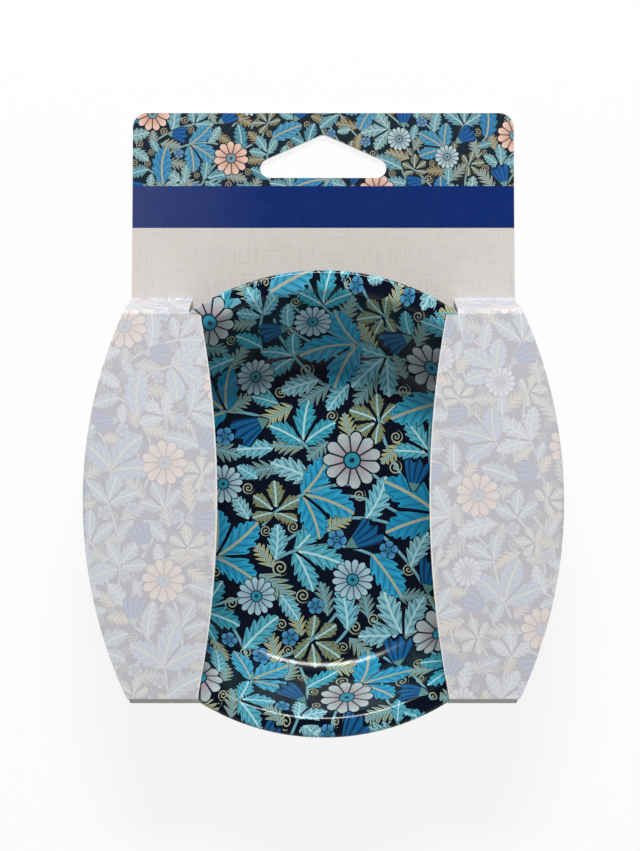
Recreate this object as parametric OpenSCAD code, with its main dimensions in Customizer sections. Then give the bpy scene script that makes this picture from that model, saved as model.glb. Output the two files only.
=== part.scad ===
// Magnetic pin bowl held in its card hanging sleeve.
// Lengths are in millimetres and angles in degrees.
// The pack lies on its back: z = 0 is the surface under the card, the bowl's
// centre line is the z axis, and the hanging header points along +Y.

/* [Bowl] */
// Diameter across the rim
bowl_d = 110; // [96:1:130]
// Depth from the top of the rim to the floor
bowl_depth = 20.5; // [15:0.5:28]
// Thickness of the tinplate
tin_t = 0.28; // [0.2:0.02:0.4]
// Width of the flat lip round the rim
lip_w = 3.6; // [2.5:0.1:5]
// Radius of the bead curled into the rim's edge
bead_r = 0.9; // [0.6:0.05:1.2]
// Diameter of the flat floor
floor_d = 68; // [60:1:74]
// Radius on the inside where the floor turns up into the wall
floor_bend_r = 7; // [4:0.5:10]
// Radius on top where the wall turns out into the lip
lip_bend_r = 2.2; // [1.2:0.1:3.5]

/* [Magnetic base] */
// How far the base cup's side stands in from the edge of the flat floor
cup_inset = 0.5; // [0.2:0.1:3]
// Thickness of the base cup's side
cup_wall = 1.6; // [1:0.1:2.5]
// Thickness of the base cup's bottom
cup_bottom = 1; // [0.8:0.1:2]
// Diameter of each disc magnet
magnet_d = 15; // [10:0.5:18]
// Thickness of each disc magnet
magnet_t = 3; // [2:0.5:5]
// Number of magnets in the ring round the middle one
magnet_count = 6; // [3:1:6]
// Width of the cage left between the ring's magnets and its edge
cage_web = 3.2; // [1:0.1:3.5]
// Play between each magnet and its pocket
pocket_play = 0.15; // [0.05:0.05:0.4]
// Play between the inside of the cup and what lies in it
cup_play = 0.2; // [0.1:0.05:0.4]
// Thickness of the steel backing plate
plate_t = 0.6; // [0.4:0.1:1.2]
// Thickness of the adhesive disc under the floor
tape_t = 0.3; // [0.2:0.05:0.6]
// Thickness of the non-slip pad
pad_t = 0.8; // [0.5:0.1:1.5]
// How far the pad's edge stands in from the cup's side
pad_inset = 1.5; // [0.5:0.1:3]

/* [Card sleeve] */
// Thickness of the card
card_t = 0.45; // [0.3:0.05:0.6]
// Gap that the bowl keeps from the card all round as it slides
slide_gap = 0.3; // [0.2:0.05:0.5]
// Further play between the rim and the side folds at their widest
side_play = 0.5; // [0.3:0.1:2]
// Radius of the curved side folds
side_bow_r = 110; // [95:1:160]
// How far the sleeve's widest place lies above the bowl's centre
side_bow_rise = 1; // [-2:0.5:3]
// How far the rim stands out past the wings at the header end
rim_show_header = 9.6; // [6:0.1:12]
// How far the rim stands out past the wings at the open mouth
rim_show_mouth = 8.9; // [6:0.1:12]
// Width of the window between the wings where it is narrowest
window_w = 49.6; // [40:0.2:60]
// Radius of the window's two curved edges
window_bow_r = 240; // [150:10:400]
// How far the back panel stops short of the wings at the mouth
back_short = 0.8; // [0:0.1:5]
// Width of the glued flanges that close the sleeve
flange_w = 7; // [4:0.5:9]

/* [Header] */
// Width of the header
header_w = 92.4; // [88:0.2:100]
// Length of the header from its fold to its top edge
header_l = 45.9; // [36:0.1:60]
// Radius of the header's two corners
header_corner_r = 3.5; // [1:0.5:8]
// Distance along the sleeve that the sloping riser takes up
riser_run = 6.6; // [4:0.1:9]
// How far the header's front ply reaches in under the rim
ply_tuck = 7; // [3:0.5:10]
// Overall width of the hang hole
hole_w = 30.6; // [26:0.1:34]
// Overall height of the hang hole
hole_h = 10.6; // [9:0.1:12]
// Radius of the hang hole's two ends
hole_end_r = 2.4; // [1.5:0.1:3]
// Radius of the hang hole's peak
hole_peak_r = 2.6; // [1.5:0.1:4]
// Distance from the header's top edge to the hang hole's straight lower edge
hole_drop = 16; // [14:0.1:20]

/* [Hidden] */
$fn = 180;
bend_steps = 12;
bead_steps = 24;
cut_past = 1;

// Heights from the table up, each resting on the one before
foot_z = card_t + slide_gap;
cup_z = foot_z + pad_t;
plate_z = cup_z + cup_bottom;
magnet_z = plate_z + plate_t;
tape_z = magnet_z + magnet_t;
tin_z = tape_z + tape_t;
floor_z = tin_z + tin_t;
rim_z = floor_z + bowl_depth;
wing_z = rim_z + slide_gap;

// Radii inside the base
cup_r = floor_d / 2 - cup_inset;
pocket_r = cup_r - cup_wall;
filling_r = pocket_r - cup_play;
magnet_ring_r = filling_r - cage_web - magnet_d / 2;

// The bowl's wall is a straight slope tangent to the floor bend and the lip bend
floor_bend_c = [floor_d / 2, floor_z + floor_bend_r];
lip_bend_c = [bowl_d / 2 - lip_w, rim_z - lip_bend_r];
bend_reach = lip_bend_c - floor_bend_c;
bend_sum = floor_bend_r + lip_bend_r;
slope_l = sqrt(bend_reach * bend_reach - bend_sum ^ 2);
slope_a = atan2(bend_reach[1], bend_reach[0]) + atan2(bend_sum, slope_l);
bead_c = [bowl_d / 2 - bead_r, rim_z - bead_r];

// Places along the sleeve
rim_r = bowl_d / 2;
wing_top_y = rim_r - rim_show_header;
wing_mouth_y = -(rim_r - rim_show_mouth);
back_mouth_y = wing_mouth_y + back_short;
fold_y = wing_top_y + riser_run;
header_top_y = fold_y + header_l;
ply_y = rim_r - ply_tuck;
hole_y = header_top_y - hole_drop;

// Places across the sleeve
side_x = rim_r + slide_gap + side_play + card_t;
side_c = [side_x - side_bow_r, side_bow_rise];
window_c = [window_w / 2 + window_bow_r, 0];
riser_in_x = sqrt((rim_r + slide_gap) ^ 2 - wing_top_y ^ 2);
wing_corner_x = side_c[0] + sqrt(side_bow_r ^ 2 - (wing_top_y - side_bow_rise) ^ 2);

// The side walls stop where the folds come nearer than the sliding rim allows
wall_stop_y = side_bow_rise - sqrt(side_bow_r ^ 2 - (side_bow_r - side_play) ^ 2);
flange_end_y = wing_top_y - flange_w / 2;

// The riser's outer face runs from the header's fold up to the wings
riser_foot = [fold_y, 2 * card_t];
riser_head = [wing_top_y, wing_z + card_t];
riser_dir = (riser_head - riser_foot) / norm(riser_head - riser_foot);
riser_in = card_t * [-riser_dir[1], riser_dir[0]];

// Points along an arc round c, turning from one angle to another
function arc(c, r, from, to, steps) =
    [for (i = [0:steps]) let (a = from + (to - from) * i / steps) c + r * [cos(a), sin(a)]];

// Where a line along the riser passes height z, starting at point p
function riser_at(p, z) = [p[0] + riser_dir[0] * (z - p[1]) / riser_dir[1], z];

// One face of the tin from the centre to the lip, at depth t below the top face
function tin_face(t) = concat(
    [[0, floor_z - t]],
    arc(floor_bend_c, floor_bend_r + t, -90, -90 + slope_a, bend_steps),
    arc(lip_bend_c, lip_bend_r - t, 90 + slope_a, 90, bend_steps));

function backwards(points) = [for (i = [len(points) - 1:-1:0]) points[i]];

// Angle on the bead at which the underside of the lip meets it
bead_end_a = 180 - asin((bead_r - tin_t) / bead_r);

// Angle of the outward normal of the tangent that runs from one round end to the next
function tangent_a(c1, r1, c2, r2) =
    atan2(c2[1] - c1[1], c2[0] - c1[0]) - acos((r1 - r2) / norm(c2 - c1));

// Half of the space between the two curved side folds, x > 0
module sleeve_half(inset = 0) {
    intersection() {
        translate(side_c) circle(r = side_bow_r - inset);
        translate([0, -2 * bowl_d]) square([bowl_d, 4 * bowl_d]);
    }
}

// The strip of the plane from y = low to y = high
module strip(low, high) {
    translate([-bowl_d, low]) square([2 * bowl_d, high - low]);
}

// The hang hole: a flat triangle with round ends, its straight side at y = hole_y
module hang_hole() {
    end_c = [hole_w / 2 - hole_end_r, hole_y + hole_end_r];
    peak_c = [0, hole_y + hole_h - hole_peak_r];
    rise_a = tangent_a(end_c, hole_end_r, peak_c, hole_peak_r);
    polygon(concat(
        arc(end_c, hole_end_r, -90, rise_a, bend_steps),
        arc(peak_c, hole_peak_r, rise_a, 180 - rise_a, bend_steps),
        arc([-end_c[0], end_c[1]], hole_end_r, 180 - rise_a, 270, bend_steps)));
}

// The header's outline with two round corners, from y = low up
module header_outline(low) {
    corner_c = [header_w / 2 - header_corner_r, header_top_y - header_corner_r];
    polygon(concat(
        [[-header_w / 2, low], [header_w / 2, low]],
        arc(corner_c, header_corner_r, 0, 90, bend_steps),
        arc([-corner_c[0], corner_c[1]], header_corner_r, 90, 180, bend_steps)));
}

module on_left() {
    mirror([1, 0, 0]) children();
}

// Pressed and printed tinplate bowl with a beaded rim
module bowl() {
    color("#2f7fa3")
    rotate_extrude()
    polygon(concat(
        tin_face(0),
        arc(bead_c, bead_r, 90, bead_end_a - 360, bead_steps),
        backwards(tin_face(tin_t))));
}

// Double-sided adhesive disc that holds the base to the underside of the floor
module adhesive_disc() {
    color("#d9cfa8")
    translate([0, 0, tape_z]) cylinder(h = tape_t, r = filling_r);
}

module magnet_places() {
    children();
    for (i = [0:magnet_count - 1])
        rotate(i * 360 / magnet_count) translate([magnet_ring_r, 0, 0]) children();
}

// Ferrite disc magnets, one in the middle and a ring round it
module magnets() {
    color("#3a3a3c")
    translate([0, 0, magnet_z])
    magnet_places() cylinder(h = magnet_t, d = magnet_d);
}

// Disc that keeps the magnets apart
module magnet_cage() {
    color("#e8e6df")
    translate([0, 0, magnet_z])
    difference() {
        cylinder(h = magnet_t, r = filling_r);
        translate([0, 0, -cut_past])
        magnet_places() cylinder(h = magnet_t + 2 * cut_past, r = magnet_d / 2 + pocket_play);
    }
}

// Steel plate that closes the magnets' field on their far side
module backing_plate() {
    color("#a9adb2")
    translate([0, 0, plate_z]) cylinder(h = plate_t, r = filling_r);
}

// Moulded cup that encloses the magnets, its edge against the bowl's underside
module base_cup() {
    color("#1d1e20")
    difference() {
        translate([0, 0, cup_z]) cylinder(h = tin_z - cup_z, r = cup_r);
        translate([0, 0, plate_z]) cylinder(h = tin_z - plate_z + cut_past, r = pocket_r);
    }
}

// Foam pad under the cup that keeps the bowl from sliding
module non_slip_pad() {
    color("#2b2b2d")
    translate([0, 0, foot_z]) cylinder(h = pad_t, r = cup_r - pad_inset);
}

// Back ply of the card: it passes under the bowl and up behind the header
module back_panel() {
    color("#e9e7e1")
    linear_extrude(card_t)
    difference() {
        union() {
            intersection() {
                union() {
                    sleeve_half();
                    on_left() sleeve_half();
                }
                strip(back_mouth_y, fold_y);
            }
            header_outline(wing_top_y);
        }
        hang_hole();
    }
}

// Front ply of the header, glued to the back ply, with a tongue between the risers
module header_front() {
    color("#31507c")
    translate([0, 0, card_t])
    linear_extrude(card_t)
    difference() {
        union() {
            header_outline(fold_y);
            translate([-riser_in_x, ply_y]) square([2 * riser_in_x, fold_y + cut_past - ply_y]);
        }
        hang_hole();
    }
}

// Section of the riser across its slope: foot on the back ply, head under the wing
module riser_section() {
    polygon([
        [fold_y, card_t],
        riser_foot,
        riser_at(riser_foot, wing_z),
        riser_at(riser_foot + riser_in, wing_z),
        riser_at(riser_foot + riser_in, card_t)]);
}

// Stands a section drawn in the plane of y and z across the sleeve, from x = from to x = to
module across(from, to) {
    translate([from, 0, 0]) rotate([90, 0, 90]) linear_extrude(to - from) children();
}

// Sloping strip of card that lifts from the header's fold to the wing
module right_riser() {
    color("#e4e2e4")
    intersection() {
        across(riser_in_x, bowl_d) riser_section();
        translate([0, header_top_y, 0]) rotate([90, 0, 0]) linear_extrude(header_top_y)
        polygon([
            [riser_in_x, 0],
            [header_w / 2, 0],
            [header_w / 2, 2 * card_t],
            [wing_corner_x, wing_z],
            [riser_in_x, wing_z]]);
    }
}

module left_riser() {
    on_left() right_riser();
}

// Everything on the header's side of the riser's inner face
module beyond_riser() {
    across(-bowl_d, bowl_d)
    polygon([
        riser_at(riser_foot + riser_in, -cut_past),
        [header_top_y, -cut_past],
        [header_top_y, wing_z + cut_past],
        riser_at(riser_foot + riser_in, wing_z + cut_past)]);
}

// Side of the sleeve between its two curved folds
module right_side_wall() {
    color("#cfd2de")
    difference() {
        translate([0, 0, card_t])
        linear_extrude(wing_z - card_t)
        intersection() {
            difference() {
                sleeve_half();
                sleeve_half(card_t);
            }
            strip(wall_stop_y, fold_y);
        }
        beyond_riser();
    }
}

module left_side_wall() {
    on_left() right_side_wall();
}

// Flange turned in from the side wall and glued down on the back panel
module right_glue_flange() {
    color("#dfddd6")
    translate([0, 0, card_t])
    linear_extrude(card_t)
    intersection() {
        difference() {
            sleeve_half(card_t);
            sleeve_half(card_t + flange_w);
        }
        strip(wall_stop_y, flange_end_y);
    }
}

module left_glue_flange() {
    on_left() right_glue_flange();
}

// Wing of card folded over the rim, its inner edge bowed towards the window
module right_wing() {
    color("#d5d8e4")
    translate([0, 0, wing_z])
    linear_extrude(card_t)
    intersection() {
        sleeve_half();
        translate(window_c) circle(r = window_bow_r);
        strip(wing_mouth_y, riser_at(riser_foot, wing_z)[0]);
    }
}

module left_wing() {
    on_left() right_wing();
}

bowl();
adhesive_disc();
magnets();
magnet_cage();
backing_plate();
base_cup();
non_slip_pad();
back_panel();
header_front();
left_riser();
right_riser();
left_side_wall();
right_side_wall();
left_glue_flange();
right_glue_flange();
left_wing();
right_wing();
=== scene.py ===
# Magnetic pin bowl held in its card hanging sleeve.
# The pack lies on its back on a pale studio floor and is seen from almost straight above.
import math

import bpy
import numpy as np
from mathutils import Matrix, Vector


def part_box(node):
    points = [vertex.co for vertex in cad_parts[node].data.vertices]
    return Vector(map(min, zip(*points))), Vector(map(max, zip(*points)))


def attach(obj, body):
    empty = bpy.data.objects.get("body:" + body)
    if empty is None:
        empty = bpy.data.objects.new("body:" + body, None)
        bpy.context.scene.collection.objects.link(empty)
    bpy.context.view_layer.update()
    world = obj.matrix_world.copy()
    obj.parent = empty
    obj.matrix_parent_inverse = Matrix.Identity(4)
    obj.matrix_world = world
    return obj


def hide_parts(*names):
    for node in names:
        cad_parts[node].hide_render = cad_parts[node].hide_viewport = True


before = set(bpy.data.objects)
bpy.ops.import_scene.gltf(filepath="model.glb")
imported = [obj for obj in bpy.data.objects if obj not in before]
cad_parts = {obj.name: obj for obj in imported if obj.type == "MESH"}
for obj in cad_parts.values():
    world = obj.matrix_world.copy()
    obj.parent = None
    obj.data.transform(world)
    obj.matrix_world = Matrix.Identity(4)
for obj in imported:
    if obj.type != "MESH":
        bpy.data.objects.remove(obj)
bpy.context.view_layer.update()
MM = 0.001


# The camera.
# It stands a metre above the pack, tilted a little from the mouth's side, with a long lens.
camera_distance = 1.0
camera_elevation = math.radians(82.6)
camera_lens = 180.6
looked_at = Vector((-0.8, 18.0, 27.2)) * MM

camera = bpy.data.objects.new("camera", bpy.data.cameras.new("camera"))
camera.data.lens = camera_lens
camera.location = looked_at + camera_distance * Vector(
    (0, -math.cos(camera_elevation), math.sin(camera_elevation)))
camera.rotation_euler = (math.pi / 2 - camera_elevation, 0, 0)
bpy.context.scene.collection.objects.link(camera)
bpy.context.scene.camera = camera
bpy.context.scene.view_settings.view_transform = "Standard"


# The studio: a pale floor, an even surrounding light, and one soft strip of light.
# The strip stands beyond the header, 47 degrees from upright, and draws the bright arcs on the
# tin's bends; the surround is brighter on the mouth's side and lights the far wall of the bowl.
def ink(code):
    """Linear RGBA of an sRGB hex colour such as "#0d1526"."""
    shares = np.array([int(code[i:i + 2], 16) for i in (1, 3, 5)]) / 255
    linear = np.where(shares <= 0.04045, shares / 12.92, ((shares + 0.055) / 1.055) ** 2.4)
    return (*linear.tolist(), 1.0)


def add(tree, kind, *inputs, **settings):
    """Adds a node; a second word in kind is its operation, and Mix mixes colours. Inputs in
    order, or named with _ for a space, take a value, a hex colour, or a link from a node or
    socket; stops fill a colour ramp, in steps if asked; other settings are its properties."""
    kind, _, operation = kind.partition(" ")
    node = tree.nodes.new("ShaderNode" + kind)
    if operation:
        node.operation = operation
    if kind == "Mix":
        node.data_type = "RGBA"
    named = []
    for name, value in settings.items():
        if name == "stops":
            elements = node.color_ramp.elements
            for place, colour in value[2:]:
                elements.new(place)
            for element, (place, colour) in zip(elements, value):
                element.position, element.color = place, ink(colour)
        elif name == "steps":
            node.color_ramp.interpolation = "CONSTANT"
        elif name in node.bl_rna.properties:
            setattr(node, name, value)
        else:
            named.append((node.inputs[name.replace("_", " ")], value))
    ordered = zip([s for s in node.inputs if s.enabled], inputs)
    for socket, value in [*named, *ordered]:
        if isinstance(value, bpy.types.Node):
            value = next(s for s in value.outputs if s.enabled)
        if isinstance(value, bpy.types.NodeSocket):
            tree.links.new(value, socket)
        elif value is not None:
            socket.default_value = ink(value) if isinstance(value, str) else value
    return node


def new_material(name):
    """A material, its node tree, and in that only the point's place on the object at rest."""
    material = bpy.data.materials.new(name)
    material.use_nodes = True
    tree = material.node_tree
    tree.nodes.clear()
    return material, tree, add(tree, "TexCoord").outputs["Object"]


strip_tilt = math.radians(47)
strip_distance = 1.25
strip_width = 0.60
strip_height = 0.26
strip_power = 14.6
surround_low = 0.52
surround_high = 0.16
surround_front = 0.5
floor_half = 4.0
floor_drop = 0.0004
floor_white = 0.86

floor_mesh = bpy.data.meshes.new("studio_floor")
floor_corners = floor_half * np.array([[-1, -1, 0], [1, -1, 0], [1, 1, 0], [-1, 1, 0]])
floor_mesh.from_pydata((floor_corners - [0, 0, floor_drop]).tolist(), [], [[0, 1, 2, 3]])
studio_floor = bpy.data.objects.new("studio_floor", floor_mesh)
bpy.context.scene.collection.objects.link(studio_floor)

# White seamless paper: it shows most of the way to white, and keeps the rest as shadow
floor_paper, tree, place = new_material("white_studio_paper")
paths = add(tree, "LightPath")
seen = add(tree, "Math MAXIMUM", paths.outputs["Is Camera Ray"], paths.outputs["Is Glossy Ray"])
seen = add(tree, "Math MAXIMUM", seen, paths.outputs["Is Transmission Ray"])
share = add(tree, "Math MULTIPLY", seen, floor_white)
paper = add(tree, "BsdfDiffuse", "#f2f2f2")
white = add(tree, "Emission", "#ffffff", 1.0)
add(tree, "OutputMaterial", add(tree, "MixShader", share, paper, white))
floor_mesh.materials.append(floor_paper)

strip = bpy.data.objects.new("strip_light", bpy.data.lights.new("strip_light", "AREA"))
strip.data.shape = "RECTANGLE"
strip.data.size, strip.data.size_y = strip_width, strip_height
strip.data.energy = strip_power
strip.location = strip_distance * Vector((0, math.sin(strip_tilt), math.cos(strip_tilt)))
strip.rotation_euler = (-strip_tilt, 0, 0)
bpy.context.scene.collection.objects.link(strip)

studio = bpy.data.worlds.new("studio")
studio.use_nodes = True
tree = studio.node_tree
tree.nodes.clear()
heading = add(tree, "SeparateXYZ", add(tree, "TexCoord").outputs["Generated"]).outputs
surround = add(tree, "MapRange", heading["Z"], 0.0, 0.8, surround_low, surround_high)
front = add(tree, "MapRange", heading["Y"], 0.0, -1.0, 0.0, surround_front)
surround = add(tree, "Math ADD", surround, front)
add(tree, "OutputWorld", add(tree, "Background", "#ffffff", surround))
bpy.context.scene.world = studio


# The bowl.
# One disc of tinplate, printed flat, varnished, then pressed to a dish with a narrow lip and
# a beaded edge. The inside carries the print; the outside is bare tinplate under clear lacquer.
tin_t = 0.28
lip_w = 3.6
bead_r = 0.9
bead_step = 0.22
floor_d = 68.0
floor_bend_r = 7.0
lip_bend_r = 2.2
around = 540
inside_step = 0.62
outside_step = 2.0
sharp_edge = math.radians(40)

tin_low, tin_high = (np.array(corner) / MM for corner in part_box("bowl"))
rim_r, rim_z = tin_high[0], tin_high[2]
floor_z = tin_low[2] + tin_t


def arc_points(centre, radius, start, end, step):
    """Points every step mm or less along an arc, its angles in radians."""
    count = max(2, int(abs(end - start) * radius / step) + 1)
    angle = np.linspace(start, end, count + 1)[:, None]
    return np.array(centre) + radius * np.hstack([np.cos(angle), np.sin(angle)])


def line_points(start, end, step):
    """Points every step mm or less along a straight line, without its two ends."""
    start, end = np.array(start), np.array(end)
    count = max(1, int(np.linalg.norm(end - start) / step) + 1)
    return start + (end - start) * np.arange(1, count)[:, None] / count


def tin_face(depth, step):
    """One face of the tin, depth mm below the printed one, from the axis to the lip: flat
    floor, floor bend, straight wall tangent to both bends, lip bend."""
    low = np.array([floor_d / 2, floor_z + floor_bend_r])
    high = np.array([rim_r - lip_w, rim_z - lip_bend_r])
    reach, radii = high - low, floor_bend_r + lip_bend_r
    slope = (math.atan2(reach[1], reach[0])
             + math.atan2(radii, math.sqrt(reach @ reach - radii ** 2)))
    bend = arc_points(low, floor_bend_r + depth, -math.pi / 2, slope - math.pi / 2, step / 2)
    lip = arc_points(high, lip_bend_r - depth, slope + math.pi / 2, math.pi / 2, step / 2)
    floor = line_points((0, floor_z - depth), bend[0], step)
    return np.vstack([floor, bend, line_points(bend[-1], lip[0], step), lip])


def grid_faces(numbers, closed=False):
    """Four-sided faces between neighbouring rows and columns of a grid of point numbers.
    Closed joins the last column to the first. The faces look along row x column direction."""
    if closed:
        numbers = np.hstack([numbers, numbers[:, :1]])
    return np.stack([numbers[:-1, :-1], numbers[1:, :-1], numbers[1:, 1:], numbers[:-1, 1:]],
                    -1).reshape(-1, 4)


def place_mesh(name, points, faces):
    """Makes an object from points in mm and faces, smooth except over sharp edges."""
    mesh = bpy.data.meshes.new(name)
    mesh.from_pydata((points * MM).tolist(), [], faces)
    mesh.polygons.foreach_set("use_smooth", np.ones(len(faces), bool))
    mesh.set_sharp_from_angle(angle=sharp_edge)
    piece = bpy.data.objects.new(name, mesh)
    bpy.context.scene.collection.objects.link(piece)
    return piece


# The profile turned about the z axis, with a pole in the middle of each face
curl_end = math.pi - math.asin((bead_r - tin_t) / bead_r) - 2 * math.pi
bead = arc_points((rim_r - bead_r, rim_z - bead_r), bead_r, math.pi / 2, curl_end, bead_step)
printed = tin_face(0, inside_step)
plain = tin_face(tin_t, outside_step)[::-1]
profile = np.vstack([printed, bead, plain])
angle = np.linspace(0, 2 * math.pi, around, endpoint=False)
ring = np.stack([np.outer(profile[:, 0], np.cos(angle)), np.outer(profile[:, 0], np.sin(angle)),
                 np.repeat(profile[:, 1:], around, 1)], -1)
poles = np.array([[0, 0, floor_z], [0, 0, floor_z - tin_t]])
numbers = np.arange(len(profile) * around).reshape(-1, around)
first, last = numbers[0], numbers[-1]
top_fan = np.stack([np.full(around, numbers.size), first, np.roll(first, -1)], -1)
low_fan = np.stack([np.full(around, numbers.size + 1), np.roll(last, -1), last], -1)
bowl = place_mesh("bowl_tin", np.vstack([ring.reshape(-1, 3), poles]),
                  [*grid_faces(numbers, closed=True).tolist(), *top_fan.tolist(),
                   *low_fan.tolist()])

# A drawn disc keeps its area, so a point's radius on the flat sheet is the root of twice the
# sum of radius times length along the profile
steps = np.linalg.norm(np.diff(profile, axis=0), axis=1)
mean_r = (profile[1:, 0] + profile[:-1, 0]) / 2
flat_r = np.sqrt(profile[0, 0] ** 2 + np.concatenate([[0], 2 * np.cumsum(mean_r * steps)]))
sheet_x = np.append(np.outer(flat_r, np.cos(angle)).ravel(), [0, 0])
sheet_y = np.append(np.outer(flat_r, np.sin(angle)).ravel(), [0, 0])

# The floral print, which also covers the top of the header and, faded, the sleeve.
# It is a dense growth of daisies, bellflowers, lobed leaves, ferns and sprigs on bent stems,
# laid out once by a seeded draw. A motif gives each point of the sheet three numbers: how deep
# inside the motif it lies, and how far across and along it; the inks are drawn from those.
print_reach = np.array([116.0, 86.0])
raster_step = 0.8
clear_gap = 0.9
seam_gap = 0.8
print_seed = 19
rng = np.random.default_rng(print_seed)

# Each motif's length and half width in millimetres, as a range for the draw
motif_sizes = {
    "daisy": ((6.6, 7.4), (6.6, 7.4)),
    "aster": ((4.6, 5.4), (4.6, 5.4)),
    "star": ((2.0, 2.5), (2.0, 2.5)),
    "bell": ((8.5, 10.5), (4.0, 4.8)),
    "leaf": ((12.0, 16.0), (3.7, 4.7)),
    "fern": ((8.5, 14.0), (2.7, 3.8)),
    "frond": ((5.5, 8.5), (1.9, 2.6)),
    "clover": ((6.0, 8.0), (2.2, 2.8)),
    "sprig": ((6.5, 11.0), (2.2, 3.0)),
    "scroll": ((1.3, 2.0), (1.3, 2.0)),
    "stem": ((24.0, 38.0), (0.8, 0.8)),
}
round_motifs = ("daisy", "aster", "star", "scroll")
print_layers = ("stem", "sprig", "scroll", "fern", "leaf", "bell", "flower")


def motif_field(x, y, motif):
    """How deep inside a motif points lie, in mm, and their place across and along it.
    A round motif gives x and y over its radius. Any other has a spine bent to an arc: the angle
    round the arc's centre gives the place along it, the distance from the arc the place across,
    and its half width swells and shrinks as (4 s (1 - s)) ^ 0.6 from its foot to its tip."""
    turn_x, turn_y = math.cos(motif["heading"]), math.sin(motif["heading"])
    ahead = (x - motif["x"]) * turn_x + (y - motif["y"]) * turn_y
    aside = (y - motif["y"]) * turn_x - (x - motif["x"]) * turn_y
    length, half, bend = motif["length"], motif["half"], motif["bend"]
    if motif["kind"] in round_motifs:
        return half - np.hypot(ahead, aside), aside / half, ahead / half
    along = np.arctan2(ahead * bend, 1 - aside * bend) / bend
    across = (1 - np.hypot(ahead * bend, 1 - aside * bend)) / bend
    share = np.clip(along / length, 0, 1)
    past = np.maximum(-along, along - length)
    swell = half if motif["kind"] == "stem" else half * (4 * share * (1 - share)) ** 0.6
    depth = np.where(past > 0, -np.hypot(past, across), swell - np.abs(across))
    return depth, across / half, along / length


def point_on(stem, distance):
    """Place and heading at a distance along a motif's bent spine."""
    bend, heading = stem["bend"], stem["heading"]
    ahead, aside = math.sin(bend * distance) / bend, (1 - math.cos(bend * distance)) / bend
    return (stem["x"] + ahead * math.cos(heading) - aside * math.sin(heading),
            stem["y"] + ahead * math.sin(heading) + aside * math.cos(heading),
            heading + bend * distance)


def flow(x, y):
    """Heading of the growth at a place: it sways round the upright in long crossed waves."""
    return math.pi / 2 + 0.9 * math.sin(x / 23 + 0.8 * math.sin(y / 29)) + 0.4 * math.sin(y / 17)


raster_x, raster_y = np.meshgrid(*(np.arange(-reach, reach, raster_step)
                                   for reach in print_reach))
covered = np.zeros(raster_x.shape, bool)


def grow(kind, tries, hidden=0.0, lean=None, tones=(0, 1), room=clear_gap, fan=(0,), own=None):
    """Draws places for a motif, on a stem if lean gives its angle from it and anywhere if not.
    Fan makes a bunch of it, turned so far from the first. It keeps those that stay room mm
    clear of their own layer and that upper layers hide no more than asked."""
    own = np.zeros_like(covered) if own is None else own
    placed = []
    (short, long), (thin, wide) = motif_sizes[kind]
    for _ in range(tries):
        size, side, tone = rng.random(), rng.choice((-1, 1)), rng.uniform(*tones)
        bend = rng.uniform(0.015, 0.045)
        x, y = rng.uniform(-print_reach, print_reach)
        heading = flow(x, y)
        if lean is not None:
            stem = stems[rng.integers(len(stems))]
            x, y, heading = point_on(stem, stem["length"] * rng.uniform(0.05, 1))
            heading += side * lean * rng.uniform(0.7, 1.25)
        elif kind not in ("stem", *round_motifs):
            heading += side * rng.uniform(0.4, 1.6)
        bunch = [{"kind": kind, "x": x, "y": y, "heading": heading + turn, "tone": tone,
                  "length": (short + (long - short) * size) * (1 - 0.15 * abs(turn)),
                  "half": (thin + (wide - thin) * size) * (1 - 0.1 * abs(turn)),
                  "bend": (np.sign(turn) or side) * bend} for turn in fan]
        reach = int((bunch[0]["length"] + bunch[0]["half"] + room) / raster_step) + 2
        column, row = ((np.array([x, y]) + print_reach) / raster_step).astype(int)
        window = (slice(max(row - reach, 0), row + reach),
                  slice(max(column - reach, 0), column + reach))
        depth = np.max([motif_field(raster_x[window], raster_y[window], motif)[0]
                        for motif in bunch], 0)
        body = depth > 0
        taken = own[window] & (depth > -room)
        if taken.any() or (covered[window] & body).sum() > hidden * body.sum():
            continue
        own[window] |= body
        placed += bunch
    if kind != "stem":
        covered[own] = True
    return placed


# A tone picks an ink from its layer's row: flowers have three kinds, ferns an olive last
star_tones, aster_tones, daisy_tones = (0, 0.3), (0.4, 0.6), (0.7, 1)
green_tones, olive_tones = (0, 0.75), (0.8, 1)
three = (0, 0.88, -0.88)
five = (0, 0.9, -0.9, 1.8, -1.8)
flower_room, leaf_room, fern_room = (np.zeros_like(covered) for _ in range(3))
stems = grow("stem", 2200, hidden=1)
flowers = grow("daisy", 550, lean=0.2, tones=daisy_tones, room=15, own=flower_room)
flowers += grow("aster", 400, lean=0.2, tones=aster_tones, room=11, own=flower_room)
bells = grow("bell", 550, hidden=0.1, lean=0.7, room=10)
leaves = grow("leaf", 550, hidden=0.12, lean=0.5, room=7, fan=three, own=leaf_room)
leaves += grow("leaf", 270, hidden=0.12, lean=0.5, room=5, own=leaf_room)
ferns = grow("clover", 300, hidden=0.1, lean=0.9, tones=olive_tones, room=4, fan=five,
             own=fern_room)
ferns += grow("fern", 3400, hidden=0.2, lean=0.6, tones=green_tones, fan=three,
              own=fern_room)
ferns += grow("fern", 5000, hidden=0.25, lean=0.8, tones=green_tones, own=fern_room)
ferns += grow("fern", 3000, hidden=0.3, tones=green_tones, own=fern_room)
ferns += grow("frond", 8000, hidden=0.2, lean=0.8, tones=green_tones, own=fern_room)
ferns += grow("frond", 4000, hidden=0.2, tones=green_tones, own=fern_room)
flowers += grow("star", 3400, hidden=0.12, tones=star_tones, room=3, own=flower_room)
sprigs = grow("sprig", 13000, hidden=0.45)
scrolls = grow("scroll", 10000, hidden=0.3)
motifs = dict(zip(print_layers, (stems, sprigs, scrolls, ferns, leaves, bells, flowers)))


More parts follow.
